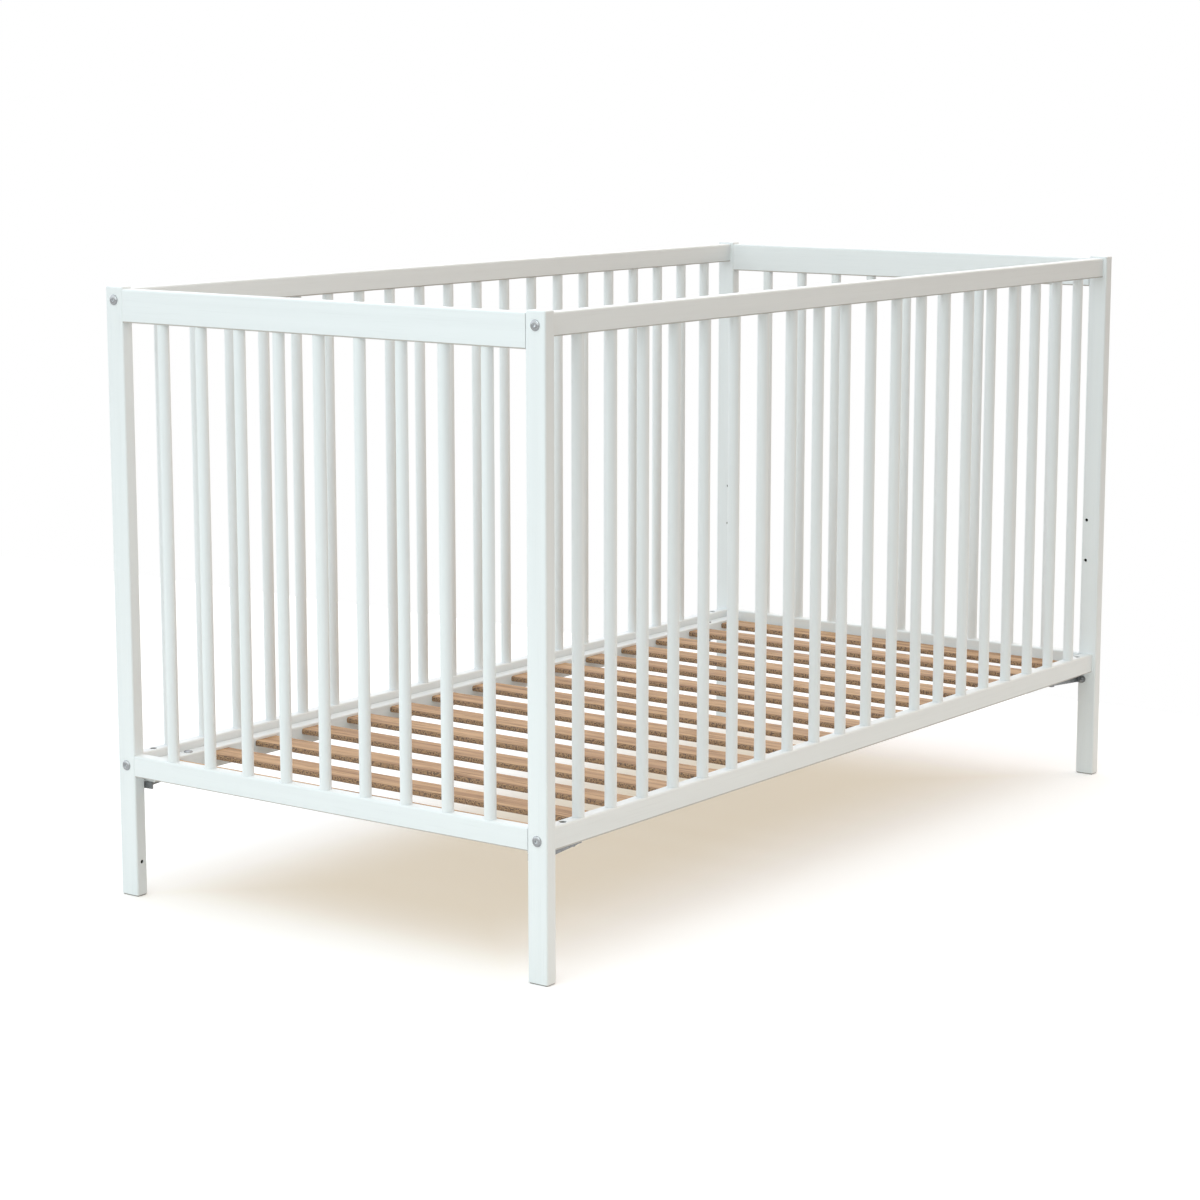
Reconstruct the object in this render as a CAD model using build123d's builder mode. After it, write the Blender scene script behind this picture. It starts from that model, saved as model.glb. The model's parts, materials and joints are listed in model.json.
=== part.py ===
from build123d import *
import os

os.makedirs("parts", exist_ok=True)

# Baby crib: two barred end panels, two barred long sides bolted between them,
# and a slatted base on four steel brackets that can be moved up to higher holes.
# X runs along the crib, Y across it and Z up; the origin is on the floor, at the middle.
# All sizes are in millimetres.

# Overall size
crib_length = 1486.0  # over the outer faces of the two end panels
crib_width = 750.0  # over the outer faces of the posts
post_height = 847.0

# Posts and rails
post_thick = 19.0  # along X, and also the thickness of the end rails
post_depth = 31.0  # along Y
side_rail_thick = 19.0
end_top_rail_height = 45.0
side_top_rail_height = 30.0
bottom_rail_height = 30.0
rail_top_drop = 3.0  # top of the top rails below the top of the posts
bottom_rail_low = 171.0  # underside of the bottom rails above the floor
edge_round = 2.5
post_top_round = 2.0
foot_chamfer = 2.0

# Round bars
bar_diameter = 16.0
bar_seat = 12.0  # depth of the blind hole that holds a bar's end
bar_fit = 0.1  # gap around and beyond the end of a bar
bar_margin = 66.5  # face of the post to the axis of the first bar
end_bar_count = 9
side_bar_count = 20

# Bolted corners of the long sides
bolt_diameter = 6.0
bolt_head_diameter = 14.0
bolt_head_height = 2.2
bolt_head_bevel = 1.0
bolt_socket = 4.0  # hexagon across flats
bolt_socket_depth = 1.6
bolt_play = 0.4  # gap around a bolt in wood
thread_play = 0.1  # gap between a bolt and the threads that it turns in
bolt_tip = 4.0  # bolt end past the barrel nut
barrel_nut_diameter = 10.0
barrel_nut_length = 15.0
barrel_nut_inset = 34.0  # nut axis from the face of the post
barrel_nut_fit = 0.1

# Wooden pins
pin_fit = 0.1
end_pin_diameter = 8.0
end_pin_in_post = 11.0
end_pin_in_rail = 20.0
top_pin_spacing = 22.0
bottom_pin_spacing = 15.0
side_pin_diameter = 6.0
side_pin_in_post = 10.0
side_pin_in_rail = 16.0
side_pin_drop = 10.0  # pin axis below the bolt axis

# Slatted base
base_rail_thick = 22.0
base_rail_height = 28.0
base_rail_top = 190.0
base_side_gap = 1.0  # base rail to the inner face of the side rail
base_end_gap = 2.5  # base rail to the inner face of the post
base_edge_round = 2.0
slat_count = 15
slat_width = 46.0
slat_thick = 8.5
slat_edge_round = 3.0
slat_drop = 4.4  # slat top below the top of the base rail
slat_end_margin = 5.5  # end of the base rail to the first slat
slat_seat = 12.0  # depth of the mortise
slat_fit = 0.15

# Brackets under the base
bracket_plate = 2.0
bracket_width = 16.0
bracket_corner_round = 4.0
bracket_past_bolt = 14.0  # plate beyond the base bolt
bracket_rib_depth = 7.0  # depth of the folded rib at the post
bracket_rib_tip = 0.5
bracket_ear_radius = 6.0
bracket_seat_gap = 0.2  # plate to the underside of the base rail
base_bolt_head_diameter = 13.0
base_bolt_head_height = 2.2
base_bolt_past_nut = 0.8
nut_across_flats = 10.0
nut_height = 3.2

# Bracket screws and the holes for them
screw_diameter = 5.0
screw_head_diameter = 8.5
screw_head_height = 3.0
screw_head_bevel = 1.2
screw_slot = 1.2
screw_slot_depth = 1.2
screw_in_post = 14.0
screw_play = 0.25
screw_inset = 8.0  # screw axis from the inner edge of the post
screw_drop = 4.0  # screw axis below the underside of the base rail
height_steps = (197.0, 263.0)  # upper hole rows above the lowest one
leg_hole_diameter = 5.5
leg_hole_depth = 15.0
leg_hole_height = 49.0

ends = (-1, 1)
sides = (-1, 1)
end_names = {-1: "left", 1: "right"}
side_names = {-1: "front", 1: "back"}

# Places worked out from the sizes
half_length = crib_length / 2
half_width = crib_width / 2
post_x = half_length - post_thick / 2
post_y = half_width - post_depth / 2
post_face_x = half_length - post_thick  # post faces that look along the crib
post_face_y = half_width - post_depth  # post faces that look across the crib
rail_top = post_height - rail_top_drop
bottom_rail_top = bottom_rail_low + bottom_rail_height
bottom_rail_mid = bottom_rail_low + bottom_rail_height / 2
end_top_rail_low = rail_top - end_top_rail_height
end_top_rail_mid = rail_top - end_top_rail_height / 2
side_top_rail_low = rail_top - side_top_rail_height
side_top_rail_mid = rail_top - side_top_rail_height / 2
side_rail_mids = (bottom_rail_mid, side_top_rail_mid)

base_rail_low = base_rail_top - base_rail_height
base_outer_y = post_y - side_rail_thick / 2 - base_side_gap
base_inner_y = base_outer_y - base_rail_thick
base_mid_y = base_outer_y - base_rail_thick / 2
base_half_length = post_face_x - base_end_gap
slat_mid = base_rail_top - slat_drop - slat_thick / 2
slat_outer_x = base_half_length - slat_end_margin
slat_pitch = (2 * slat_outer_x - slat_width) / (slat_count - 1)
base_bolt_x = slat_outer_x - slat_width / 2 - slat_pitch / 2  # in the first gap between slats

bracket_top = base_rail_low - bracket_seat_gap
bracket_low = bracket_top - bracket_plate
screw_z = base_rail_low - screw_drop
screw_y = post_face_y + screw_inset


def spread(count, pitch):
    """Places of a row of equal steps about the middle."""
    return [(i - (count - 1) / 2) * pitch for i in range(count)]


def bar_row(count, half_span):
    """Places of evenly spaced bars between two posts."""
    return spread(count, 2 * (half_span - bar_margin) / (count - 1))


end_bar_places = bar_row(end_bar_count, post_face_y)
side_bar_places = bar_row(side_bar_count, post_face_x)


def hexagon_radius(across_flats):
    """Corner radius of a hexagon of the given width."""
    return across_flats / 3**0.5


def save(piece, name):
    """Label a finished piece and write it to its own file."""
    piece.label = name
    export_step(piece, f"parts/{name}.step")


def end_pin_heights():
    """Heights of the dowel pins between an end panel's rails and its posts."""
    top = [end_top_rail_mid + z for z in spread(2, top_pin_spacing)]
    bottom = [bottom_rail_mid + z for z in spread(2, bottom_pin_spacing)]
    return bottom + top


def make_post(end, side):
    """Corner post with its bolt, pin, bracket and leg holes."""
    x = end * post_x
    y = side * post_y
    screw_heights = [screw_z] + [screw_z + step for step in height_steps]
    with BuildPart() as post:
        with BuildSketch(Plane.XY):
            with Locations((x, y)):
                RectangleRounded(post_thick, post_depth, edge_round)
        extrude(amount=post_height)
        fillet(post.faces().sort_by(Axis.Z)[-1].edges(), post_top_round)
        chamfer(post.faces().sort_by(Axis.Z)[0].edges(), foot_chamfer)
        # Bolt holes right through, under the heads
        with BuildSketch(Plane.YZ.offset(end * half_length)):
            with Locations(*[(y, z) for z in side_rail_mids]):
                Circle(bolt_diameter / 2 + bolt_play)
        extrude(amount=-end * post_thick, mode=Mode.SUBTRACT)
        # Blind holes for the side rails' locating pins
        with BuildSketch(Plane.YZ.offset(end * post_face_x)):
            with Locations(*[(y, z - side_pin_drop) for z in side_rail_mids]):
                Circle(side_pin_diameter / 2 + pin_fit)
        extrude(amount=end * (side_pin_in_post + pin_fit), mode=Mode.SUBTRACT)
        # Three rows of bracket screw holes
        with BuildSketch(Plane.YZ.offset(end * post_face_x)):
            with Locations(*[(side * screw_y, z) for z in screw_heights]):
                Circle(screw_diameter / 2 + thread_play)
        extrude(amount=end * (screw_in_post + thread_play), mode=Mode.SUBTRACT)
        # Blind holes for the end rails' dowel pins
        with BuildSketch(Plane.ZX.offset(side * post_face_y)):
            with Locations(*[(z, x) for z in end_pin_heights()]):
                Circle(end_pin_diameter / 2 + pin_fit)
        extrude(amount=side * (end_pin_in_post + pin_fit), mode=Mode.SUBTRACT)
        # Small hole near the foot
        with BuildSketch(Plane.ZX.offset(side * post_face_y)):
            with Locations((leg_hole_height, x)):
                Circle(leg_hole_diameter / 2)
        extrude(amount=side * leg_hole_depth, mode=Mode.SUBTRACT)
    save(post.part, f"post_{end_names[end]}_{side_names[side]}")


def make_end_rail(name, end, low, height, pin_spacing, bar_face, bar_way):
    """Rail across an end panel, with seats for the bars on one face and pin holes in its ends."""
    x = end * post_x
    mid = low + height / 2
    with BuildPart() as rail:
        with BuildSketch(Plane.ZX.offset(-post_face_y)):
            with Locations((mid, x)):
                RectangleRounded(height, post_thick, edge_round)
        extrude(amount=2 * post_face_y)
        with BuildSketch(Plane.XY.offset(bar_face)):
            with Locations(*[(x, y) for y in end_bar_places]):
                Circle(bar_diameter / 2 + bar_fit)
        extrude(amount=bar_way * (bar_seat + bar_fit), mode=Mode.SUBTRACT)
        for side in sides:
            with BuildSketch(Plane.ZX.offset(side * post_face_y)):
                with Locations(*[(mid + z, x) for z in spread(2, pin_spacing)]):
                    Circle(end_pin_diameter / 2 + pin_fit)
            extrude(amount=-side * (end_pin_in_rail + pin_fit), mode=Mode.SUBTRACT)
    save(rail.part, f"{name}_{end_names[end]}")


def make_side_rail(name, side, low, height, bar_face, bar_way, nut_face, nut_way):
    """Rail of a long side, with bar seats, and bolt, pin and barrel nut holes at its ends."""
    y = side * post_y
    mid = low + height / 2
    bolt_reach = barrel_nut_inset + barrel_nut_diameter / 2 + bolt_tip
    nut_x = post_face_x - barrel_nut_inset
    nut_hole_depth = abs(nut_face - mid) + barrel_nut_length / 2
    with BuildPart() as rail:
        with BuildSketch(Plane.YZ.offset(-post_face_x)):
            with Locations((y, mid)):
                RectangleRounded(side_rail_thick, height, edge_round)
        extrude(amount=2 * post_face_x)
        with BuildSketch(Plane.XY.offset(bar_face)):
            with Locations(*[(x, y) for x in side_bar_places]):
                Circle(bar_diameter / 2 + bar_fit)
        extrude(amount=bar_way * (bar_seat + bar_fit), mode=Mode.SUBTRACT)
        for end in ends:
            with BuildSketch(Plane.YZ.offset(end * post_face_x)):
                with Locations((y, mid)):
                    Circle(bolt_diameter / 2 + bolt_play)
            extrude(amount=-end * (bolt_reach + bolt_play), mode=Mode.SUBTRACT)
            with BuildSketch(Plane.YZ.offset(end * post_face_x)):
                with Locations((y, mid - side_pin_drop)):
                    Circle(side_pin_diameter / 2 + pin_fit)
            extrude(amount=-end * (side_pin_in_rail + pin_fit), mode=Mode.SUBTRACT)
        with BuildSketch(Plane.XY.offset(nut_face)):
            with Locations(*[(end * nut_x, y) for end in ends]):
                Circle(barrel_nut_diameter / 2 + barrel_nut_fit)
        extrude(amount=nut_way * nut_hole_depth, mode=Mode.SUBTRACT)
    save(rail.part, f"{name}_{side_names[side]}")


def make_bars(name, places, top_rail_low):
    """Row of round bars whose ends sit in the bottom and top rails."""
    with BuildPart() as bars:
        with BuildSketch(Plane.XY.offset(bottom_rail_top - bar_seat)):
            with Locations(*places):
                Circle(bar_diameter / 2)
        extrude(amount=top_rail_low - bottom_rail_top + 2 * bar_seat)
    save(bars.part, name)


def make_frame_bolts():
    """Socket-headed bolts through the posts into the side rails."""
    bolt_length = post_thick + barrel_nut_inset + barrel_nut_diameter / 2 + bolt_tip
    places = [(side * post_y, z) for side in sides for z in side_rail_mids]
    with BuildPart() as bolts:
        for end in ends:
            head_top = half_length + bolt_head_height
            with BuildSketch(Plane.YZ.offset(end * half_length)):
                with Locations(*places):
                    Circle(bolt_head_diameter / 2)
            extrude(amount=end * bolt_head_height)
            circles = bolts.edges(Select.LAST).filter_by(GeomType.CIRCLE)
            chamfer(circles.group_by(Axis.X)[0 if end < 0 else -1], bolt_head_bevel)
            with BuildSketch(Plane.YZ.offset(end * half_length)):
                with Locations(*places):
                    Circle(bolt_diameter / 2)
            extrude(amount=-end * bolt_length)
            with BuildSketch(Plane.YZ.offset(end * head_top)):
                with Locations(*places):
                    RegularPolygon(hexagon_radius(bolt_socket), 6)
            extrude(amount=-end * bolt_socket_depth, mode=Mode.SUBTRACT)
    save(bolts.part, "frame_bolts")


def make_barrel_nuts():
    """Round cross nuts inside the side rails, each pulled on by one frame bolt."""
    nut_x = post_face_x - barrel_nut_inset
    with BuildPart() as nuts:
        for z in side_rail_mids:
            with BuildSketch(Plane.XY.offset(z - barrel_nut_length / 2)):
                with Locations(*[(end * nut_x, side * post_y) for end in ends for side in sides]):
                    Circle(barrel_nut_diameter / 2)
            extrude(amount=barrel_nut_length)
        with BuildSketch(Plane.YZ.offset(-half_length)):
            with Locations(*[(side * post_y, z) for side in sides for z in side_rail_mids]):
                Circle(bolt_diameter / 2 + thread_play)
        extrude(amount=crib_length, mode=Mode.SUBTRACT)
    save(nuts.part, "barrel_nuts")


def make_side_rail_pins():
    """Locating pins beside the frame bolts."""
    places = [(side * post_y, z - side_pin_drop) for side in sides for z in side_rail_mids]
    with BuildPart() as pins:
        for end in ends:
            with BuildSketch(Plane.YZ.offset(end * (post_face_x + side_pin_in_post))):
                with Locations(*places):
                    Circle(side_pin_diameter / 2)
            extrude(amount=-end * (side_pin_in_post + side_pin_in_rail))
    save(pins.part, "side_rail_pins")


def make_end_rail_pins():
    """Dowel pins that join the end rails to the posts."""
    places = [(z, end * post_x) for end in ends for z in end_pin_heights()]
    with BuildPart() as pins:
        for side in sides:
            with BuildSketch(Plane.ZX.offset(side * (post_face_y + end_pin_in_post))):
                with Locations(*places):
                    Circle(end_pin_diameter / 2)
            extrude(amount=-side * (end_pin_in_post + end_pin_in_rail))
    save(pins.part, "end_rail_pins")


def make_base_rail(side):
    """Side rail of the slatted base, with a mortise for each slat and two bolt holes."""
    y = side * base_mid_y
    with BuildPart() as rail:
        with BuildSketch(Plane.YZ.offset(-base_half_length)):
            with Locations((y, base_rail_top - base_rail_height / 2)):
                RectangleRounded(base_rail_thick, base_rail_height, base_edge_round)
        extrude(amount=2 * base_half_length)
        with BuildSketch(Plane.ZX.offset(side * base_inner_y)):
            with Locations(*[(slat_mid, x) for x in spread(slat_count, slat_pitch)]):
                RectangleRounded(
                    slat_thick + 2 * slat_fit, slat_width + 2 * slat_fit, slat_edge_round + slat_fit
                )
        extrude(amount=side * slat_seat, mode=Mode.SUBTRACT)
        with BuildSketch(Plane.XY.offset(base_rail_top)):
            with Locations(*[(end * base_bolt_x, y) for end in ends]):
                Circle(bolt_diameter / 2 + bolt_play)
        extrude(amount=-base_rail_height, mode=Mode.SUBTRACT)
    save(rail.part, f"base_rail_{side_names[side]}")


def make_slat(number, x):
    """Base slat with rounded edges, its ends let into both base rails."""
    half_slat = base_inner_y + slat_seat - slat_fit
    with BuildPart() as slat:
        with BuildSketch(Plane.ZX.offset(-half_slat)):
            with Locations((slat_mid, x)):
                RectangleRounded(slat_thick, slat_width, slat_edge_round)
        extrude(amount=2 * half_slat)
    save(slat.part, f"base_slat_{number:02d}")


def make_bracket(end, side):
    """Folded steel bracket: a plate under the base rail, a tapered rib and an ear on the post."""
    inner_edge = base_mid_y - bracket_width / 2
    outer_edge = base_mid_y + bracket_width / 2
    tip_x = base_bolt_x - bracket_past_bolt
    rib_foot = bracket_low - bracket_rib_depth
    with BuildPart() as bracket:
        with BuildSketch(Plane.XY.offset(bracket_low)):
            with Locations((end * (tip_x + post_face_x) / 2, side * base_mid_y)):
                Rectangle(post_face_x - tip_x, bracket_width)
        extrude(amount=bracket_plate)
        corners = bracket.edges().filter_by(Axis.Z).group_by(Axis.X)[0 if end > 0 else -1]
        fillet(corners, bracket_corner_round)
        # Rib folded down along the outer edge
        with BuildSketch(Plane.ZX.offset(side * (outer_edge - bracket_plate))):
            with BuildLine():
                Polyline(
                    (bracket_low, end * post_face_x),
                    (rib_foot, end * post_face_x),
                    (bracket_low - bracket_rib_tip, end * (base_bolt_x - bracket_plate)),
                    (bracket_low, end * (base_bolt_x - bracket_plate)),
                    close=True,
                )
            make_face()
        extrude(amount=side * bracket_plate)
        # End flange folded down against the post, with an ear round the screw
        with BuildSketch(Plane.YZ.offset(end * post_face_x)):
            with BuildLine():
                Polyline(
                    (side * inner_edge, bracket_top),
                    (side * screw_y, bracket_top),
                    (side * screw_y, screw_z - bracket_ear_radius),
                    (side * inner_edge, rib_foot),
                    close=True,
                )
            make_face()
            with Locations((side * screw_y, screw_z)):
                Circle(bracket_ear_radius)
        extrude(amount=-end * bracket_plate)
        with BuildSketch(Plane.YZ.offset(end * post_face_x)):
            with Locations((side * screw_y, screw_z)):
                Circle(screw_diameter / 2 + screw_play)
        extrude(amount=-end * bracket_plate, mode=Mode.SUBTRACT)
        with BuildSketch(Plane.XY.offset(bracket_top)):
            with Locations((end * base_bolt_x, side * base_mid_y)):
                Circle(bolt_diameter / 2 + bolt_play)
        extrude(amount=-bracket_plate, mode=Mode.SUBTRACT)
    save(bracket.part, f"base_bracket_{end_names[end]}_{side_names[side]}")


def make_bracket_screws():
    """Slotted round-head screws that hold the brackets to the posts."""
    places = [(side * screw_y, screw_z) for side in sides]
    head_face = post_face_x - bracket_plate
    with BuildPart() as screws:
        for end in ends:
            with BuildSketch(Plane.YZ.offset(end * head_face)):
                with Locations(*places):
                    Circle(screw_head_diameter / 2)
            extrude(amount=-end * screw_head_height)
            circles = screws.edges(Select.LAST).filter_by(GeomType.CIRCLE)
            chamfer(circles.group_by(Axis.X)[0 if end > 0 else -1], screw_head_bevel)
            with BuildSketch(Plane.YZ.offset(end * (head_face - screw_head_height))):
                with Locations(*places):
                    Rectangle(screw_head_diameter, screw_slot)
            extrude(amount=end * screw_slot_depth, mode=Mode.SUBTRACT)
            with BuildSketch(Plane.YZ.offset(end * head_face)):
                with Locations(*places):
                    Circle(screw_diameter / 2)
            extrude(amount=end * (bracket_plate + screw_in_post))
    save(screws.part, "bracket_screws")


def make_base_bolts():
    """Socket-headed bolts that hold the base rails down to the brackets."""
    places = [(end * base_bolt_x, side * base_mid_y) for end in ends for side in sides]
    head_top = base_rail_top + base_bolt_head_height
    bolt_end = bracket_low - nut_height - base_bolt_past_nut
    with BuildPart() as bolts:
        with BuildSketch(Plane.XY.offset(base_rail_top)):
            with Locations(*places):
                Circle(base_bolt_head_diameter / 2)
        extrude(amount=base_bolt_head_height)
        chamfer(bolts.edges().filter_by(GeomType.CIRCLE).group_by(Axis.Z)[-1], bolt_head_bevel)
        with BuildSketch(Plane.XY.offset(bolt_end)):
            with Locations(*places):
                Circle(bolt_diameter / 2)
        extrude(amount=base_rail_top - bolt_end)
        with BuildSketch(Plane.XY.offset(head_top)):
            with Locations(*places):
                RegularPolygon(hexagon_radius(bolt_socket), 6)
        extrude(amount=-bolt_socket_depth, mode=Mode.SUBTRACT)
    save(bolts.part, "base_bolts")


def make_base_nuts():
    """Thin hexagon nuts under the brackets."""
    places = [(end * base_bolt_x, side * base_mid_y) for end in ends for side in sides]
    with BuildPart() as nuts:
        with BuildSketch(Plane.XY.offset(bracket_low - nut_height)):
            with Locations(*places):
                RegularPolygon(hexagon_radius(nut_across_flats), 6)
                Circle(bolt_diameter / 2 + bolt_play / 2, mode=Mode.SUBTRACT)
        extrude(amount=nut_height)
    save(nuts.part, "base_nuts")


# End panels
for end in ends:
    for side in sides:
        make_post(end, side)
    make_end_rail(
        "end_bottom_rail", end, bottom_rail_low, bottom_rail_height, bottom_pin_spacing, bottom_rail_top, -1
    )
    make_end_rail(
        "end_top_rail", end, end_top_rail_low, end_top_rail_height, top_pin_spacing, end_top_rail_low, 1
    )
    end_places = [(end * post_x, y) for y in end_bar_places]
    make_bars(f"end_bars_{end_names[end]}", end_places, end_top_rail_low)
make_end_rail_pins()

# Long sides: barrel nuts go in from above in the bottom rails and from below in the top rails
for side in sides:
    make_side_rail(
        "side_bottom_rail",
        side,
        bottom_rail_low,
        bottom_rail_height,
        bottom_rail_top,
        -1,
        bottom_rail_top,
        -1,
    )
    make_side_rail(
        "side_top_rail",
        side,
        side_top_rail_low,
        side_top_rail_height,
        side_top_rail_low,
        1,
        side_top_rail_low,
        1,
    )
    side_places = [(x, side * post_y) for x in side_bar_places]
    make_bars(f"side_bars_{side_names[side]}", side_places, side_top_rail_low)
make_frame_bolts()
make_barrel_nuts()
make_side_rail_pins()

# Slatted base
for side in sides:
    make_base_rail(side)
for number, x in enumerate(spread(slat_count, slat_pitch), start=1):
    make_slat(number, x)
make_base_bolts()

# Brackets and their fixings
for end in ends:
    for side in sides:
        make_bracket(end, side)
make_bracket_screws()
make_base_nuts()
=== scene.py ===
import json
import math
from typing import NamedTuple

import bmesh
import bpy
from bpy.props import FloatProperty, FloatVectorProperty, IntProperty, PointerProperty
from mathutils import Euler, Matrix, Vector


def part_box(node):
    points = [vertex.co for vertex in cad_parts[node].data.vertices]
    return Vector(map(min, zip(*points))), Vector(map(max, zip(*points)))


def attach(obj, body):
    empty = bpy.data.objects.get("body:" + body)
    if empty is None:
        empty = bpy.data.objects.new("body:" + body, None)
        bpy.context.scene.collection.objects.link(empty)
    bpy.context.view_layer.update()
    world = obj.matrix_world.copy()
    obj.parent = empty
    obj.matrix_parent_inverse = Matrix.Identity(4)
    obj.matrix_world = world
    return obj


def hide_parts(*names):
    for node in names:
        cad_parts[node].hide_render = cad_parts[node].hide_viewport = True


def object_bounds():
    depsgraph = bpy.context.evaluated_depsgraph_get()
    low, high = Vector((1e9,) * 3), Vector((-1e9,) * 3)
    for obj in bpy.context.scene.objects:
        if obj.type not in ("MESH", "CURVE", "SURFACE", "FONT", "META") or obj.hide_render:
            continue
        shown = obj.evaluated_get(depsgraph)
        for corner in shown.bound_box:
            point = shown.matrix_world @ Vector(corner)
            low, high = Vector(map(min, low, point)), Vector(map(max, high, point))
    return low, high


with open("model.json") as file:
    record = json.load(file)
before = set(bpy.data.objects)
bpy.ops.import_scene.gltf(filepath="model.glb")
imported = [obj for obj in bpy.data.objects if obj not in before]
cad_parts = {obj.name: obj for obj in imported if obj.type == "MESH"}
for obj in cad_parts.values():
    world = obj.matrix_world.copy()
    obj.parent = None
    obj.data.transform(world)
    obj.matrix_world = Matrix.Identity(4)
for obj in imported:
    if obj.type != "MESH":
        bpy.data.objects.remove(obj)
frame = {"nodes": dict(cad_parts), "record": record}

bl_info = {
    "name": "Baby Crib",
    "version": (1, 0, 0),
    "blender": (4, 5, 0),
    "location": "View3D > Sidebar > Crib",
    "description": "Dresses the crib model with painted wood, slats, fasteners and a studio",
    "category": "Object",
}

MM = 0.001
CAD_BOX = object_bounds()
NODES = frame["nodes"]
SLOT_COLOURS = {m["slot"]: m["base_color"] for m in frame["record"]["materials"]}

SIDES = ("front", "back")
LEVELS = ("bottom", "top")
WAYS = (-1, 1)
AXES = {"X": 0, "Y": 1, "Z": 2}


# Places and sizes read from the packed model

def named(start):
    """Names of the model's nodes that begin with the given word."""
    return sorted(name for name in NODES if name.startswith(start))


def middle(node):
    """Centre of a node's box."""
    low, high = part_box(node)
    return (low + high) / 2


def extent(node):
    """Size of a node's box."""
    low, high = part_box(node)
    return high - low


def placed(spot, axis):
    """Place at a spot, with the piece's own Z along the given direction."""
    return Matrix.Translation(spot) @ Vector(axis).to_track_quat("Z", "Y").to_matrix().to_4x4()


# Sizes and colours that a user would change

def length(name, description, default):
    """Property for a size, shown in the scene's units."""
    return FloatProperty(
        name=name, description=description, default=default, min=0.0, unit="LENGTH", precision=4
    )


def share(name, description, default):
    """Property for a value from nought to one."""
    return FloatProperty(
        name=name, description=description, default=default, min=0.0, max=1.0, subtype="FACTOR"
    )


def amount(name, description, default):
    """Property for a strength."""
    return FloatProperty(name=name, description=description, default=default, min=0.0)


def colour(name, description, default):
    """Property for a colour."""
    return FloatVectorProperty(
        name=name, description=description, default=default, size=3, min=0.0, max=1.0, subtype="COLOR"
    )


class CribPaint(bpy.types.PropertyGroup):
    """Satin paint on the posts, rails and bars."""

    tint: colour("Paint", "Colour of the paint", SLOT_COLOURS["white_paint"])
    thin_tint: colour("Thin paint", "Colour where the paint is thin along edges", (0.80, 0.79, 0.76))
    # Painted shade: a darker colour on the rails' downward-turned edges stands in for the shade under them
    edge_shade_tint: colour("Shaded lower edges", "Colour of the painted shade on the rails' lower edges", (0.50, 0.48, 0.45))
    # Near-black painted shade inside the drilled holes
    bore_shade_tint: colour("Drilled holes", "Colour inside the drilled holes", (0.030, 0.027, 0.024))
    roughness: share("Roughness", "Mean roughness of the paint", 0.44)
    edge_width: length("Edge width", "Width of the rubbed band along an edge", 1.4 * MM)


class CribSlats(bpy.types.PropertyGroup):
    """Laminated wood of the base slats."""

    light_tint: colour("Light wood", "Colour of the pale bands", (0.565, 0.34, 0.165))
    dark_tint: colour("Dark wood", "Colour of the dark bands", (0.325, 0.163, 0.063))
    fleck_tint: colour("Flecks", "Colour of the short flecks along the grain", (0.19, 0.092, 0.036))
    edge_tint: colour("Ply edges", "Colour of the dark plies along the sides", (0.138, 0.083, 0.055))
    edge_width: length("Edge width", "Width of the rubbed band along an edge", 2.5 * MM)
    plies: IntProperty(
        name="Plies", description="Layers seen along a slat's side", default=5, min=1, max=12
    )


class CribFasteners(bpy.types.PropertyGroup):
    """Zinc-plated bolts, nuts, screws and brackets."""

    tint: colour("Zinc", "Colour of the plating", SLOT_COLOURS["zinc_plate"])
    roughness: share("Roughness", "Mean roughness of the plating on bolts", 0.16)
    bright: share("Bolt shade", "Share of the colour left on the bolts", 0.55)
    # Painted highlight: the sockets take a paler copy of the bolts' plating
    socket_highlight: share("Socket highlight", "Share of the colour left in the sockets of the bolts", 0.95)
    # Painted shade: the brackets, nuts and screws take a darker copy of the plating; their higher roughness
    # is real
    dull_and_darkened: share("Bracket shade", "Share of the colour left on the brackets, nuts and screws, darkened as painted shade", 0.42)
    shank: length("Shank", "Diameter of the bolts", 6.0 * MM)
    pitch: length("Thread pitch", "Distance from one bolt thread to the next", 1.0 * MM)
    past_nut: length("Past the nut", "Length of a frame bolt past its barrel nut", 4.0 * MM)
    socket: length("Socket", "Width across the flats of the bolt sockets", 4.0 * MM)
    socket_depth: length("Socket depth", "Depth of the bolt sockets", 1.6 * MM)
    plate: length("Bracket plate", "Thickness of the bracket plate under a screw head", 2.0 * MM)
    screw_shank: length("Screw shank", "Diameter of the bracket screws", 5.0 * MM)
    screw_pitch: length("Screw pitch", "Distance from one screw thread to the next", 1.6 * MM)
    screw_head: length("Screw head", "Height of the screw heads", 3.0 * MM)
    screw_slot: length("Screw slot", "Width of the slot in the screw heads", 1.2 * MM)
    screw_slot_depth: length("Screw slot depth", "Depth of the slot in the screw heads", 1.3 * MM)


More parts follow.
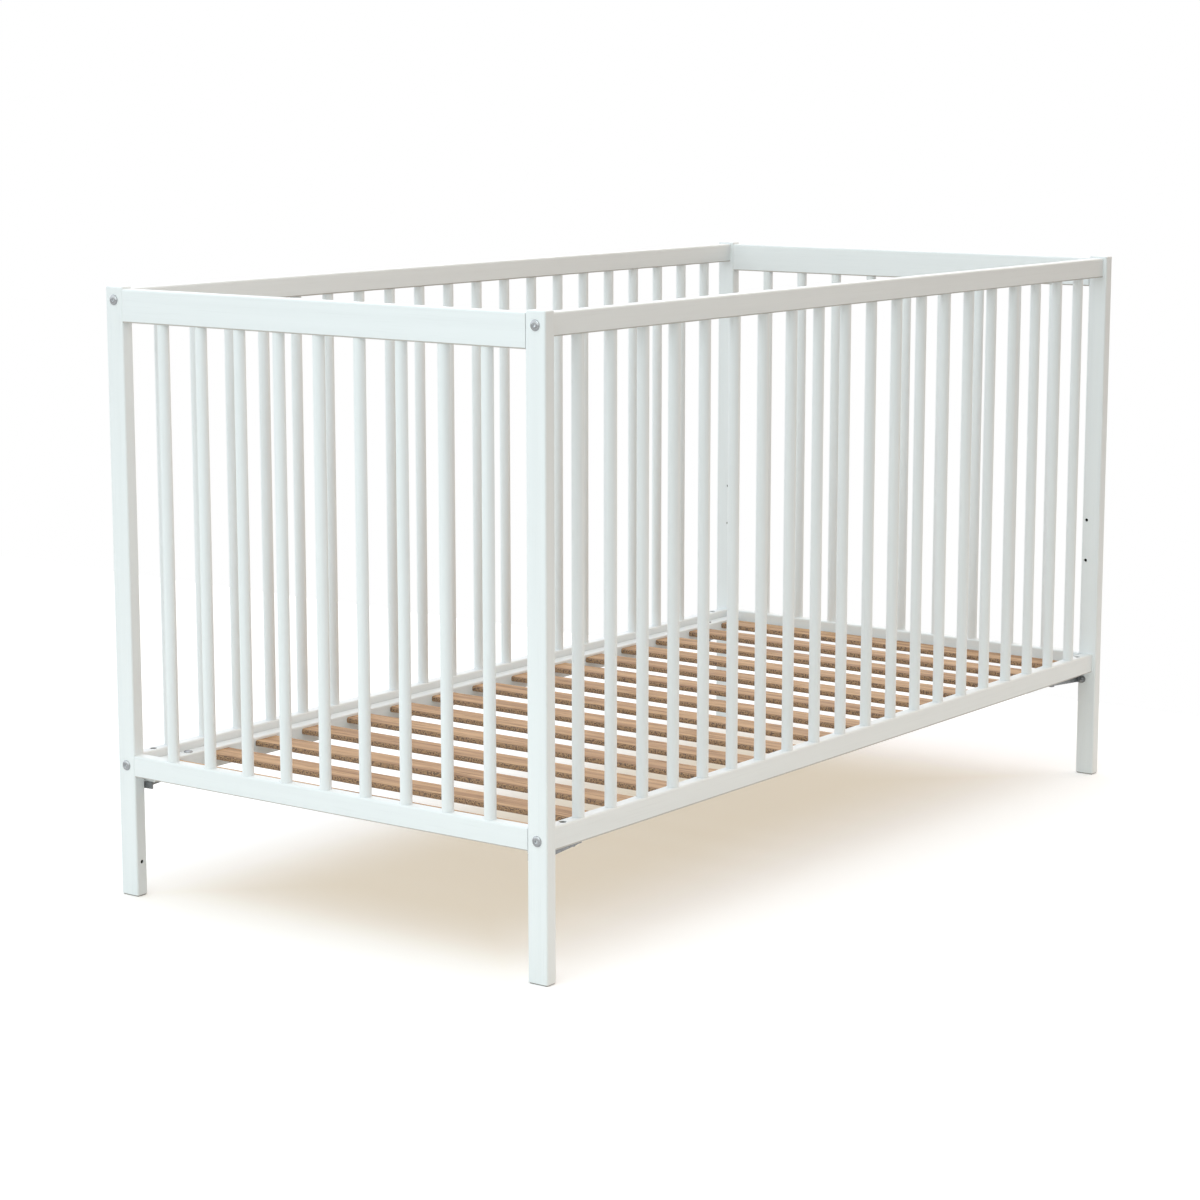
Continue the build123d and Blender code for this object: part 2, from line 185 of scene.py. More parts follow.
class CribStage(bpy.types.PropertyGroup):
    """Floor, light and camera."""

    # Painted shadow: the floor's darker colour and lower glow under the crib
    painted_shadow_tint: colour("Painted shadow under the crib", "Colour of the floor's painted shadow under the crib", (0.55, 0.55, 0.53))
    far_tint: colour("Floor around", "Colour of the floor away from the crib", (0.90, 0.90, 0.87))
    painted_shadow_glow: colour(
        "Glow of the painted shadow", "Glow that colours the painted shadow under the crib", (0.364, 0.305, 0.217)
    )
    far_glow: colour(
        "Glow around", "Light that shows in the floor away from the crib", (0.29, 0.295, 0.325)
    )
    left_tint: colour("Left light", "Colour of the soft light from the left", (0.93, 1.0, 0.97))
    left_strength: amount("Left strength", "Strength of the soft light from the left", 1.35)
    right_tint: colour("Right light", "Colour of the soft light from the right", (1.0, 0.84, 0.71))
    right_strength: amount("Right strength", "Strength of the soft light from the right", 1.45)
    back_tint: colour("Back light", "Colour of the soft light from behind", (0.84, 0.90, 1.0))
    back_strength: amount("Back strength", "Strength of the soft light from behind", 1.25)
    lamp_tint: colour("Lamp", "Colour of the lamp above the near end", (0.79, 0.93, 1.0))
    lamp_power: FloatProperty(
        name="Lamp power", description="Power of the lamp", default=13.2, min=0.0, unit="POWER"
    )
    lamp_size: length("Lamp size", "Width of the lamp's soft box", 1.6)
    lens: FloatProperty(name="Lens", description="Focal length", default=90.3, unit="CAMERA")


SETTINGS = {
    "crib_paint": CribPaint,
    "crib_slats": CribSlats,
    "crib_fasteners": CribFasteners,
    "crib_stage": CribStage,
}


# Short ways to add shader nodes

WHOLE = (0.0, 1.0)


def put(tree, kind, setup=None, inputs=None):
    """Add a node, set it up, and fill its inputs with values or links."""
    node = tree.nodes.new(kind)
    for key, value in (setup or {}).items():
        setattr(node, key, value)
    for key, value in (inputs or {}).items():
        if isinstance(value, bpy.types.NodeSocket):
            tree.links.new(value, node.inputs[key])
        else:
            node.inputs[key].default_value = value
    return node


def maths(tree, operation, first, second=0.0):
    """Output of a maths node."""
    return put(tree, "ShaderNodeMath", {"operation": operation}, {0: first, 1: second}).outputs[0]


def vector_maths(tree, operation, first, second=(0.0, 0.0, 0.0), output="Vector"):
    """Output of a vector maths node."""
    setup = {"operation": operation}
    return put(tree, "ShaderNodeVectorMath", setup, {0: first, 1: second}).outputs[output]


def parts_of(tree, vector):
    """X, Y and Z outputs of a vector."""
    return put(tree, "ShaderNodeSeparateXYZ", None, {0: vector}).outputs


def noise(tree, vector, scale, detail=2.0):
    """Cloudy values from nought to one."""
    inputs = {"Vector": vector, "Scale": scale, "Detail": detail}
    return put(tree, "ShaderNodeTexNoise", None, inputs).outputs[0]


def remap(tree, value, source, target=WHOLE):
    """Value taken smoothly from one range to another."""
    setup = {"interpolation_type": "SMOOTHSTEP"}
    ends = {"Value": value, 1: source[0], 2: source[1], 3: target[0], 4: target[1]}
    return put(tree, "ShaderNodeMapRange", setup, ends).outputs[0]


def mixed(tree, factor, first, second):
    """Colour between two colours."""
    inputs = {0: factor}
    for place, tint in ((6, first), (7, second)):
        inputs[place] = tint if isinstance(tint, bpy.types.NodeSocket) else (*tint, 1.0)
    return put(tree, "ShaderNodeMix", {"data_type": "RGBA"}, inputs).outputs[2]


def object_places(tree):
    """Places in the piece's own space, in metres."""
    return put(tree, "ShaderNodeTexCoord").outputs["Object"]


def surface_normal(tree):
    """X, Y and Z of the direction that the surface faces."""
    return parts_of(tree, put(tree, "ShaderNodeNewGeometry").outputs["Normal"])


def new_group(name, inputs, outputs):
    """Empty node group with named sockets, and its input and output nodes."""
    group = bpy.data.node_groups.new(name, "ShaderNodeTree")
    for socket, kind in inputs.items():
        group.interface.new_socket(socket, in_out="INPUT", socket_type=kind)
    for socket in outputs:
        group.interface.new_socket(socket, in_out="OUTPUT", socket_type="NodeSocketFloat")
    return group, group.nodes.new("NodeGroupInput").outputs, group.nodes.new("NodeGroupOutput").inputs


def use_group(tree, group, inputs):
    """Outputs of a group placed in a material."""
    return put(tree, "ShaderNodeGroup", {"node_tree": group}, inputs).outputs


# Effects shared by several finishes; a range is where a mask starts and where it is full

HALF = (0.5, 0.5, 0.5)
BAND_DETAIL = 5.0
BAND_RANGE = (0.32, 0.68)
FLECK_DETAIL = 3.0
FLECK_RANGE = (0.56, 0.70)
HANDLING_SCALE = 38.0
HANDLING_DETAIL = 4.0
HANDLING_RANGE = (0.35, 0.65)
HANDLING_SHARE = (0.25, 1.0)
UNDERSIDE_RANGE = (0.93, 0.99)
BORE_RANGE = (0.8, 1.2)
CLOUD_SCALE_SHARE = 0.06
CLOUD_DETAIL = 3.0
CLOUD_RANGE = (0.3, 0.7)


def wood_figure():
    """Bands and short flecks drawn out along the grain."""
    name = "wood_figure"
    if name in bpy.data.node_groups:
        return bpy.data.node_groups[name]
    group, given, result = new_group(
        name,
        {"Vector": "NodeSocketVector", "Stretch": "NodeSocketVector", "Fleck Scale": "NodeSocketFloat"},
        ("Bands", "Flecks"),
    )
    drawn = vector_maths(group, "MULTIPLY", given["Vector"], given["Stretch"])
    bands = noise(group, drawn, 1.0, BAND_DETAIL)
    specks = noise(group, drawn, given["Fleck Scale"], FLECK_DETAIL)
    group.links.new(remap(group, bands, BAND_RANGE), result["Bands"])
    group.links.new(remap(group, specks, FLECK_RANGE), result["Flecks"])
    return group


def rubbed_edge():
    """Mask along the edges of a box-shaped piece, broken up as by handling."""
    name = "rubbed_edge"
    if name in bpy.data.node_groups:
        return bpy.data.node_groups[name]
    group, given, result = new_group(
        name, {"Size": "NodeSocketVector", "Width": "NodeSocketFloat"}, ("Mask",)
    )
    coordinates = put(group, "ShaderNodeTexCoord").outputs
    off_middle = vector_maths(group, "SUBTRACT", coordinates["Generated"], HALF)
    to_face = vector_maths(group, "SUBTRACT", HALF, vector_maths(group, "ABSOLUTE", off_middle))
    x, y, z = parts_of(group, vector_maths(group, "MULTIPLY", to_face, given["Size"]))
    # An edge is where the second nearest face is close
    nearer = maths(group, "MINIMUM", x, y)
    farther = maths(group, "MAXIMUM", x, y)
    second_nearest = maths(group, "MAXIMUM", nearer, maths(group, "MINIMUM", farther, z))
    closeness = maths(group, "SUBTRACT", 1.0, maths(group, "DIVIDE", second_nearest, given["Width"]))
    band = put(group, "ShaderNodeClamp", None, {0: closeness}).outputs[0]
    clouds = noise(group, coordinates["Object"], HANDLING_SCALE, HANDLING_DETAIL)
    patches = remap(group, clouds, HANDLING_RANGE, HANDLING_SHARE)
    group.links.new(maths(group, "MULTIPLY", band, patches), result["Mask"])
    return group


def lower_edge():
    """Mask of the rounded edges that turn downwards, without the flat undersides; it places painted shade.
    """
    name = "lower_edge"
    if name in bpy.data.node_groups:
        return bpy.data.node_groups[name]
    group, given, result = new_group(
        name, {"Start": "NodeSocketFloat", "Full": "NodeSocketFloat"}, ("Mask",)
    )
    drop = maths(group, "MULTIPLY", surface_normal(group)["Z"], -1.0)
    turned = remap(group, drop, (given["Start"], given["Full"]))
    not_flat = maths(group, "SUBTRACT", 1.0, remap(group, drop, UNDERSIDE_RANGE))
    group.links.new(maths(group, "MULTIPLY", turned, not_flat), result["Mask"])
    return group


def drilled_bore():
    """Mask of the walls of holes drilled into a box-shaped piece, which take painted shade."""
    name = "drilled_bore"
    if name in bpy.data.node_groups:
        return bpy.data.node_groups[name]
    group, given, result = new_group(
        name, {"Low": "NodeSocketVector", "High": "NodeSocketVector", "Depth": "NodeSocketFloat"}, ("Mask",)
    )
    spot = vector_maths(group, "ABSOLUTE", object_places(group))
    above = vector_maths(group, "SUBTRACT", spot, given["Low"])
    below = vector_maths(group, "SUBTRACT", given["High"], spot)
    x, y, z = parts_of(group, vector_maths(group, "MINIMUM", above, below))
    depth = maths(group, "MINIMUM", maths(group, "MINIMUM", x, y), z)
    steps = maths(group, "DIVIDE", depth, given["Depth"])
    group.links.new(remap(group, steps, BORE_RANGE), result["Mask"])
    return group


def fine_relief():
    """Fine ripple of a coating, and slower clouds in its gloss."""
    name = "fine_relief"
    if name in bpy.data.node_groups:
        return bpy.data.node_groups[name]
    group, given, result = new_group(name, {"Scale": "NodeSocketFloat"}, ("Ripple", "Clouds"))
    places = object_places(group)
    slower = maths(group, "MULTIPLY", given["Scale"], CLOUD_SCALE_SHARE)
    clouds = noise(group, places, slower, CLOUD_DETAIL)
    group.links.new(noise(group, places, given["Scale"]), result["Ripple"])
    group.links.new(remap(group, clouds, CLOUD_RANGE), result["Clouds"])
    return group


# Finishes

class Grain(NamedTuple):
    """Scales of a wood's bands, in waves to the metre, and of its flecks against the bands."""

    along: float
    across: float
    flecks: float


class Relief(NamedTuple):
    """Fine surface of a finish: waves to the metre, their depth, and how far they tilt the surface."""

    scale: float
    depth: float
    strength: float


PAINT_GRAIN = Grain(along=2.2, across=90.0, flecks=6.0)
PAINT_RELIEF = Relief(scale=900.0, depth=0.12 * MM, strength=0.35)
PAINT_DEEP_SHADE = 0.955
PAINT_FIGURE_SHARE = 0.5
PAINT_FLECK_DEPTH = 0.8
PAINT_RUB_SHARE = 0.55
PAINT_GLOSS_SPREAD = (-0.05, 0.06)
# Where the painted shade on downward-turned edges starts and where it is full
EDGE_SHADE_START = 0.10
EDGE_SHADE_FULL = 0.40
BORE_DEPTH = 1.3 * MM
NO_INNER_FACE = -1.0

SLAT_GRAIN = Grain(along=3.0, across=75.0, flecks=5.0)
SLAT_RELIEF = Relief(scale=1100.0, depth=0.2 * MM, strength=0.5)
SLAT_FLECK_SHARE = 0.9
SLAT_FLECK_DEPTH = 1.2
SLAT_SIDE_RANGE = (0.30, 0.85)
SLAT_RUB_SHARE = 0.35
SLAT_ROUGHNESS = (0.55, 0.72)
PLY_WANDER_SCALE = 60.0
PLY_WANDER = 0.9
PLY_MIDDLE = 0.5
PLY_RANGE = (0.18, 0.36)
SPECK_SCALE = 420.0
SPECK_DETAIL = 3.0
SPECK_RANGE = (0.47, 0.59)

ZINC_RELIEF = Relief(scale=2600.0, depth=0.03 * MM, strength=0.25)
ZINC_CLOUD_SHADE = 0.80
ZINC_GLOSS_SPREAD = (-0.06, 0.10)
SOCKET_ROUGHNESS = 0.5
BRACKET_ROUGHNESS = 0.40

PIN_GRAIN = Grain(along=160.0, across=160.0, flecks=6.0)
PIN_RELIEF = Relief(scale=1500.0, depth=0.1 * MM, strength=0.4)
PIN_BAND_SHADE = 0.8
PIN_ROUGHNESS = (0.6, 0.75)


def new_finish(name):
    """Empty material with its shader."""
    finish = bpy.data.materials.new(name)
    finish.use_nodes = True
    tree = finish.node_tree
    return finish, tree, tree.nodes["Principled BSDF"]


def darker(tint, left):
    """Colour of which a share is left."""
    return tuple(left * part for part in tint)


def figured(tree, places, grain, axis):
    """Bands and flecks of a wood whose grain runs along an axis."""
    stretch = [grain.across] * len(AXES)
    stretch[AXES[axis]] = grain.along
    return use_group(
        tree, wood_figure(), {"Vector": places, "Stretch": stretch, "Fleck Scale": grain.flecks}
    )


def sunken(tree, ripple, flecks, depth):
    """Height of a rippled surface whose flecks lie deeper."""
    return maths(tree, "ADD", ripple, maths(tree, "MULTIPLY", flecks, -depth))


def connect(tree, shader, base, roughness, height, relief):
    """Feed a shader's colour, roughness and surface relief."""
    inputs = {"Strength": relief.strength, "Distance": relief.depth, "Height": height}
    bump = put(tree, "ShaderNodeBump", None, inputs)
    tree.links.new(base, shader.inputs["Base Color"])
    tree.links.new(roughness, shader.inputs["Roughness"])
    tree.links.new(bump.outputs[0], shader.inputs["Normal"])


def bore_box(node):
    """Inner and outer corner of a node, measured outward from the middle of the crib."""
    inner, outer = [], []
    for low, high in zip(*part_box(node)):
        near, far = sorted((abs(low), abs(high)))
        inner.append(NO_INNER_FACE if low < 0 < high else near)
        outer.append(far)
    return inner, outer


def paint_finish(name, axis, node=None):
    """White paint over wood whose grain runs along an axis; a node gives the rubbed edges, and the painted
    shade on downward-turned edges and in drilled holes.
    """
    paint = bpy.context.scene.crib_paint
    finish, tree, shader = new_finish(name)
    figure = figured(tree, object_places(tree), PAINT_GRAIN, axis)
    relief = use_group(tree, fine_relief(), {"Scale": PAINT_RELIEF.scale})
    both = maths(tree, "ADD", figure["Bands"], figure["Flecks"])
    faint = maths(tree, "MULTIPLY", both, PAINT_FIGURE_SHARE)
    base = mixed(tree, faint, paint.tint, darker(paint.tint, PAINT_DEEP_SHADE))
    if node:
        rub = use_group(tree, rubbed_edge(), {"Size": extent(node), "Width": paint.edge_width})
        base = mixed(tree, maths(tree, "MULTIPLY", rub["Mask"], PAINT_RUB_SHARE), base, paint.thin_tint)
        # Painted shade on the rounded edges that turn downwards
        edge_shade = use_group(tree, lower_edge(), {"Start": EDGE_SHADE_START, "Full": EDGE_SHADE_FULL})
        base = mixed(tree, edge_shade["Mask"], base, paint.edge_shade_tint)
        # Painted shade: the walls of the drilled holes are near black
        inner, outer = bore_box(node)
        bore = use_group(tree, drilled_bore(), {"Low": inner, "High": outer, "Depth": BORE_DEPTH})
        base = mixed(tree, bore["Mask"], base, paint.bore_shade_tint)
    gloss = [paint.roughness + step for step in PAINT_GLOSS_SPREAD]
    roughness = remap(tree, relief["Clouds"], WHOLE, gloss)
    height = sunken(tree, relief["Ripple"], figure["Flecks"], PAINT_FLECK_DEPTH)
    connect(tree, shader, base, roughness, height, PAINT_RELIEF)
    return finish


def slat_finish():
    """Laminated brown wood, with plies and dark edges along the slats' sides."""
    wood = bpy.context.scene.crib_slats
    slat = named("base_slat_")[0]
    low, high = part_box(slat)
    finish, tree, shader = new_finish("slat_wood")
    places = object_places(tree)
    figure = figured(tree, places, SLAT_GRAIN, "Y")
    relief = use_group(tree, fine_relief(), {"Scale": SLAT_RELIEF.scale})
    face = mixed(tree, figure["Bands"], wood.light_tint, wood.dark_tint)
    flecks = maths(tree, "MULTIPLY", figure["Flecks"], SLAT_FLECK_SHARE)
    face = mixed(tree, flecks, face, wood.fleck_tint)
    # Plies and dark specks show where the surface turns to the side
    side = remap(tree, maths(tree, "ABSOLUTE", surface_normal(tree)["X"]), SLAT_SIDE_RANGE)
    rise = maths(tree, "SUBTRACT", parts_of(tree, places)["Z"], low.z)
    layer = maths(tree, "MULTIPLY", rise, wood.plies / (high.z - low.z))
    wander = maths(tree, "MULTIPLY", noise(tree, places, PLY_WANDER_SCALE), PLY_WANDER)
    phase = maths(tree, "FRACT", maths(tree, "ADD", layer, wander))
    off_middle = maths(tree, "ABSOLUTE", maths(tree, "SUBTRACT", phase, PLY_MIDDLE))
    ply = remap(tree, off_middle, PLY_RANGE)
    specks = remap(tree, noise(tree, places, SPECK_SCALE, SPECK_DETAIL), SPECK_RANGE)
    edge = mixed(tree, maths(tree, "MAXIMUM", ply, specks), wood.light_tint, wood.edge_tint)
    base = mixed(tree, side, face, edge)
    rub = use_group(tree, rubbed_edge(), {"Size": extent(slat), "Width": wood.edge_width})
    base = mixed(tree, maths(tree, "MULTIPLY", rub["Mask"], SLAT_RUB_SHARE), base, wood.edge_tint)
    roughness = remap(tree, figure["Flecks"], WHOLE, SLAT_ROUGHNESS)
    height = sunken(tree, relief["Ripple"], figure["Flecks"], SLAT_FLECK_DEPTH)
    connect(tree, shader, base, roughness, height, SLAT_RELIEF)
    return finish


def zinc_finish(name, left, roughness):
    """Zinc plating with pale clouds and a fine grain; left is the share of its colour that is left."""
    if name in bpy.data.materials:
        return bpy.data.materials[name]
    finish, tree, shader = new_finish(name)
    relief = use_group(tree, fine_relief(), {"Scale": ZINC_RELIEF.scale})
    pale = darker(bpy.context.scene.crib_fasteners.tint, left)
    base = mixed(tree, relief["Clouds"], pale, darker(pale, ZINC_CLOUD_SHADE))
    gloss = [roughness + step for step in ZINC_GLOSS_SPREAD]
    shader.inputs["Metallic"].default_value = 1.0
    connect(tree, shader, base, remap(tree, relief["Clouds"], WHOLE, gloss), relief["Ripple"], ZINC_RELIEF)
    return finish


def bolt_finishes():
    """Bright plating of the bolts, and the rougher inside of their sockets, paler as a painted highlight.
    """
    fasteners = bpy.context.scene.crib_fasteners
    bright = zinc_finish("bright_zinc", fasteners.bright, fasteners.roughness)
    # The socket's paler copy of the plating is a painted highlight
    socket = zinc_finish("highlit_socket_zinc", fasteners.socket_highlight, SOCKET_ROUGHNESS)
    return bright, socket


def bracket_finish():
    """Dull plating of the brackets, nuts and screws, darker than the bolts as painted shade."""
    return zinc_finish("shaded_bracket_zinc", bpy.context.scene.crib_fasteners.dull_and_darkened, BRACKET_ROUGHNESS)


def pin_finish():
    """Bare wood of the dowel pins."""
    finish, tree, shader = new_finish("pin_wood")
    pale = SLOT_COLOURS["pin_wood"]
    figure = figured(tree, object_places(tree), PIN_GRAIN, "X")
    relief = use_group(tree, fine_relief(), {"Scale": PIN_RELIEF.scale})
    base = mixed(tree, figure["Bands"], pale, darker(pale, PIN_BAND_SHADE))
    roughness = remap(tree, figure["Flecks"], WHOLE, PIN_ROUGHNESS)
    connect(tree, shader, base, roughness, relief["Ripple"], PIN_RELIEF)
    return finish


def dress(nodes, finish):
    """Give nodes of the model their finish."""
    for node in nodes:
        slot = NODES[node].material_slots[0]
        slot.link = "OBJECT"
        slot.material = finish


# Turned metal pieces

TURNED_SEGMENTS = 36
SHARP_ANGLE = math.radians(32)
DOME_STEPS = 6
THREAD_DEPTH_SHARE = 0.45
BOLT_TIP = 0.8 * MM
BOLT_THREAD = 24.0 * MM
BOLT_THREAD_SHARE = 0.6
BOLT_RIM_SHARE = 0.25
SOCKET_BANDS = 3
SOCKET_LEAD = 0.2 * MM
SOCKET_FLOOR_SHARE = 1 / 3
NUT_CLEARANCE = 0.2 * MM
NUT_FACE_INSET = 0.1 * MM
NUT_CORNER_DROP = 0.55 * MM
NUT_LEAD = 0.4 * MM
SCREW_TIP_SHARE = 0.5
SCREW_RIM_SHARE = 0.2
SCREW_FLAT = 0.6 * MM
SCREW_DOME_STEPS = 8
SLOT_SPAN_SHARE = 3
SIXTH_TURN = math.pi / 3


def hexagon(across_flats):
    """Radius of a hexagon at each angle."""
    def radius(angle):
        off_flat = (angle + SIXTH_TURN / 2) % SIXTH_TURN - SIXTH_TURN / 2
        return across_flats / 2 / math.cos(off_flat)
    return radius


def smaller(first, second):
    """The smaller of a radius that changes with the angle and a fixed one."""
    def radius(angle):
        return min(first(angle), second)
    return radius


def add_turned(mesh, place, rings, closed=False, recess=0):
    """Add a skin over rings of (radius or radius at each angle, height).

    Closed joins the last ring to the first, and recess counts the last bands that get the second finish.
    """
    loops = []
    for radius, height in rings:
        loop = []
        for step in range(TURNED_SEGMENTS):
            angle = math.tau * step / TURNED_SEGMENTS
            reach = radius(angle) if callable(radius) else radius
            spot = Vector((reach * math.cos(angle), reach * math.sin(angle), height))
            loop.append(mesh.verts.new(place @ spot))
        loops.append(loop)
    pairs = list(zip(loops, loops[1:]))
    if closed:
        pairs.append((loops[-1], loops[0]))
    for number, (lower, upper) in enumerate(pairs):
        for step in range(TURNED_SEGMENTS):
            after = (step + 1) % TURNED_SEGMENTS
            face = mesh.faces.new((lower[step], lower[after], upper[after], upper[step]))
            face.material_index = int(number >= len(pairs) - recess)
    if not closed:
        mesh.faces.new(tuple(reversed(loops[0])))
        mesh.faces.new(tuple(loops[-1])).material_index = int(recess > 0)


def thread_rings(radius, start, end, pitch):
    """Rings of a row of thread crests from one height up to another."""
    root = radius - THREAD_DEPTH_SHARE * pitch
    rings = []
    for turn in range(int((end - start) / pitch)):
        low = start + turn * pitch
        rings += [(root, low), (radius, low + pitch / 2)]
    return rings


def dome_rings(radius, low, height, flat, steps=DOME_STEPS):
    """Rings of a domed head from its rim up to the flat round its recess."""
    rings = []
    for step in range(steps + 1):
        turn = math.pi / 2 * step / steps
        reach = flat + (radius - flat) * math.cos(turn)
        rings.append((reach, low + (height - low) * math.sin(turn)))
    return rings


def bolt_rings(head_diameter, head_height, reach):
    """Rings of a socket-headed bolt, from its threaded tip to the floor of its socket."""
    fasteners = bpy.context.scene.crib_fasteners
    shank = fasteners.shank / 2
    head = head_diameter / 2
    thread_end = -reach + min(BOLT_THREAD, BOLT_THREAD_SHARE * reach)
    flats = hexagon(fasteners.socket)
    corner = flats(SIXTH_TURN / 2)
    socket_floor = head_height - fasteners.socket_depth
    rings = [(shank - BOLT_TIP, -reach)]
    rings += thread_rings(shank, -reach + BOLT_TIP, thread_end, fasteners.pitch)
    rings += [(shank, thread_end), (shank, 0.0), (head, 0.0)]
    rings += dome_rings(head, BOLT_RIM_SHARE * head_height, head_height, corner + 2 * SOCKET_LEAD)
    rings += [
        (hexagon(fasteners.socket + 2 * SOCKET_LEAD), head_height),
        (flats, head_height - SOCKET_LEAD),
        (flats, socket_floor),
        (SOCKET_FLOOR_SHARE * shank, socket_floor - SOCKET_LEAD),
    ]
    return rings


def nut_rings(across_flats, height, bore):
    """Rings round a hexagon nut with chamfered corners and bore."""
    flats = hexagon(across_flats)
    face = smaller(flats, across_flats / 2 - NUT_FACE_INSET)
    return [
        (bore, NUT_LEAD),
        (bore + NUT_LEAD, 0.0),
        (face, 0.0),
        (flats, NUT_CORNER_DROP),
        (flats, height - NUT_CORNER_DROP),
        (face, height),
        (bore + NUT_LEAD, height),
        (bore, height - NUT_LEAD),
    ]


def screw_rings(head_radius, reach):
    """Rings of a dome-headed screw, from its tip to the top of its head."""
    fasteners = bpy.context.scene.crib_fasteners
    shank = fasteners.screw_shank / 2
    top = fasteners.screw_head
    rings = [(SCREW_TIP_SHARE * shank, -reach)]
    rings += thread_rings(shank, -reach + shank, -fasteners.plate, fasteners.screw_pitch)
    rings += [(shank, -fasteners.plate), (shank, 0.0), (head_radius, 0.0)]
    rings += dome_rings(head_radius, SCREW_RIM_SHARE * top, top, SCREW_FLAT, SCREW_DOME_STEPS)
    return rings


def slotted(mesh, place, width, span, depth, top):
    """Cut a driver slot across the top of a piece."""
    solid = bpy.data.meshes.new("uncut")
    mesh.to_mesh(solid)
    blade_mesh = bmesh.new()
    size = Matrix.Diagonal((span, width, 2 * depth, 1.0))
    bmesh.ops.create_cube(blade_mesh, matrix=place @ Matrix.Translation((0, 0, top)) @ size)
    blade_data = bpy.data.meshes.new("blade")
    blade_mesh.to_mesh(blade_data)
    blade_mesh.free()
    head = bpy.data.objects.new("uncut", solid)
    blade = bpy.data.objects.new("blade", blade_data)
    for part in (head, blade):
        bpy.context.scene.collection.objects.link(part)
    cut = head.modifiers.new("slot", "BOOLEAN")
    cut.operation = "DIFFERENCE"
    cut.object = blade
    graph = bpy.context.evaluated_depsgraph_get()
    result = bpy.data.meshes.new_from_object(head.evaluated_get(graph))
    mesh.clear()
    mesh.from_mesh(result)
    for part in (head, blade):
        bpy.data.objects.remove(part)
    for data in (solid, blade_data, result):
        bpy.data.meshes.remove(data)


def add_mesh(mesh, added):
    """Add one mesh to another and free it."""
    data = bpy.data.meshes.new("added")
    added.to_mesh(data)
    added.free()
    mesh.from_mesh(data)
    bpy.data.meshes.remove(data)


def new_piece(name, mesh, body, slot, nodes, *finishes):
    """Finish a mesh as a piece that stands for nodes of the model."""
    bmesh.ops.recalc_face_normals(mesh, faces=mesh.faces)
    data = bpy.data.meshes.new(name)
    mesh.to_mesh(data)
    mesh.free()
    data.shade_smooth()
    data.set_sharp_from_angle(angle=SHARP_ANGLE)
    for finish in finishes:
        data.materials.append(finish)
    piece = bpy.data.objects.new(name, data)
    bpy.context.scene.collection.objects.link(piece)
    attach(piece, body)
    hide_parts(*nodes)


# Floor, light and camera

FLOOR_LOW = Vector((-6.0, -2.0, 0.0))
FLOOR_HIGH = Vector((1.25, 3.0, 0.0))
FLOOR_STEPS = 8
FLOOR_ROUGHNESS = 0.9
SHADOW_MIDDLE = (-0.03, 0.03, 0.0)
SHADOW_EDGE = (-0.27, 0.12)
LEFT_FROM = Vector((-0.940, 0.0, 0.342))
RIGHT_FROM = Vector((0.785, -0.453, 0.423))
BACK_FROM = Vector((0.142, 0.807, 0.574))
LIGHT_FALLOFF = 2.0
LAMP_SPOT = Vector((-2.0, -0.6, 2.4))
LAMP_AIM = Vector((-0.2, 0.0, 0.45))
CAMERA_SPOT = Vector((-3.6259, -2.5984, 1.1164))
CAMERA_YAW = math.radians(54.03)
CAMERA_PITCH = math.radians(9.846)
CAMERA_ROLL = math.radians(0.10)
CAMERA_SHIFT = (-0.0272, 0.0058)
SENSOR_WIDTH = 36.0
WHITE = (1.0, 1.0, 1.0, 1.0)


def seen_directly(tree):
    """One for rays that show the backdrop: from the camera, a mirror or glass."""
    path = put(tree, "ShaderNodeLightPath").outputs
    either = maths(tree, "MAXIMUM", path["Is Camera Ray"], path["Is Glossy Ray"])
    return maths(tree, "MAXIMUM", either, path["Is Transmission Ray"])


def make_floor(context):
    """Pale floor that takes the crib's cast shadow, with a painted shadow under the crib."""
    stage = context.scene.crib_stage
    spread = Matrix.Diagonal((*(FLOOR_HIGH - FLOOR_LOW).xy, 1.0, 1.0))
    place = Matrix.Translation((FLOOR_LOW + FLOOR_HIGH) / 2) @ spread
    mesh = bmesh.new()
    bmesh.ops.create_grid(
        mesh, x_segments=FLOOR_STEPS, y_segments=FLOOR_STEPS, size=0.5, matrix=place
    )
    data = bpy.data.meshes.new("floor")
    mesh.to_mesh(data)
    mesh.free()
    floor = bpy.data.objects.new("floor", data)
    context.scene.collection.objects.link(floor)
    finish, tree, shader = new_finish("floor_white")
    shader.inputs["Roughness"].default_value = FLOOR_ROUGHNESS
    shader.inputs["Specular IOR Level"].default_value = 0.0
    # Painted shadow over the real cast one: the floor's colour and its camera-seen glow are lower on the
    # crib's own patch of floor and rise across its edge
    corner = (CAD_BOX[1][0], CAD_BOX[1][1], 0.0)
    from_middle = vector_maths(tree, "SUBTRACT", object_places(tree), SHADOW_MIDDLE)
    past_corner = vector_maths(tree, "SUBTRACT", vector_maths(tree, "ABSOLUTE", from_middle), corner)
    past = parts_of(tree, past_corner)
    rise = remap(tree, maths(tree, "MAXIMUM", past["X"], past["Y"]), SHADOW_EDGE)
    tree.links.new(mixed(tree, rise, stage.painted_shadow_tint, stage.far_tint), shader.inputs["Base Color"])
    tree.links.new(mixed(tree, rise, stage.painted_shadow_glow, stage.far_glow), shader.inputs["Emission Color"])
    tree.links.new(seen_directly(tree), shader.inputs["Emission Strength"])
    # Seen from below, the floor is clear and shows the crib's underside
    behind = put(tree, "ShaderNodeNewGeometry").outputs["Backfacing"]
    tree.links.new(maths(tree, "SUBTRACT", 1.0, behind), shader.inputs["Alpha"])
    data.materials.append(finish)


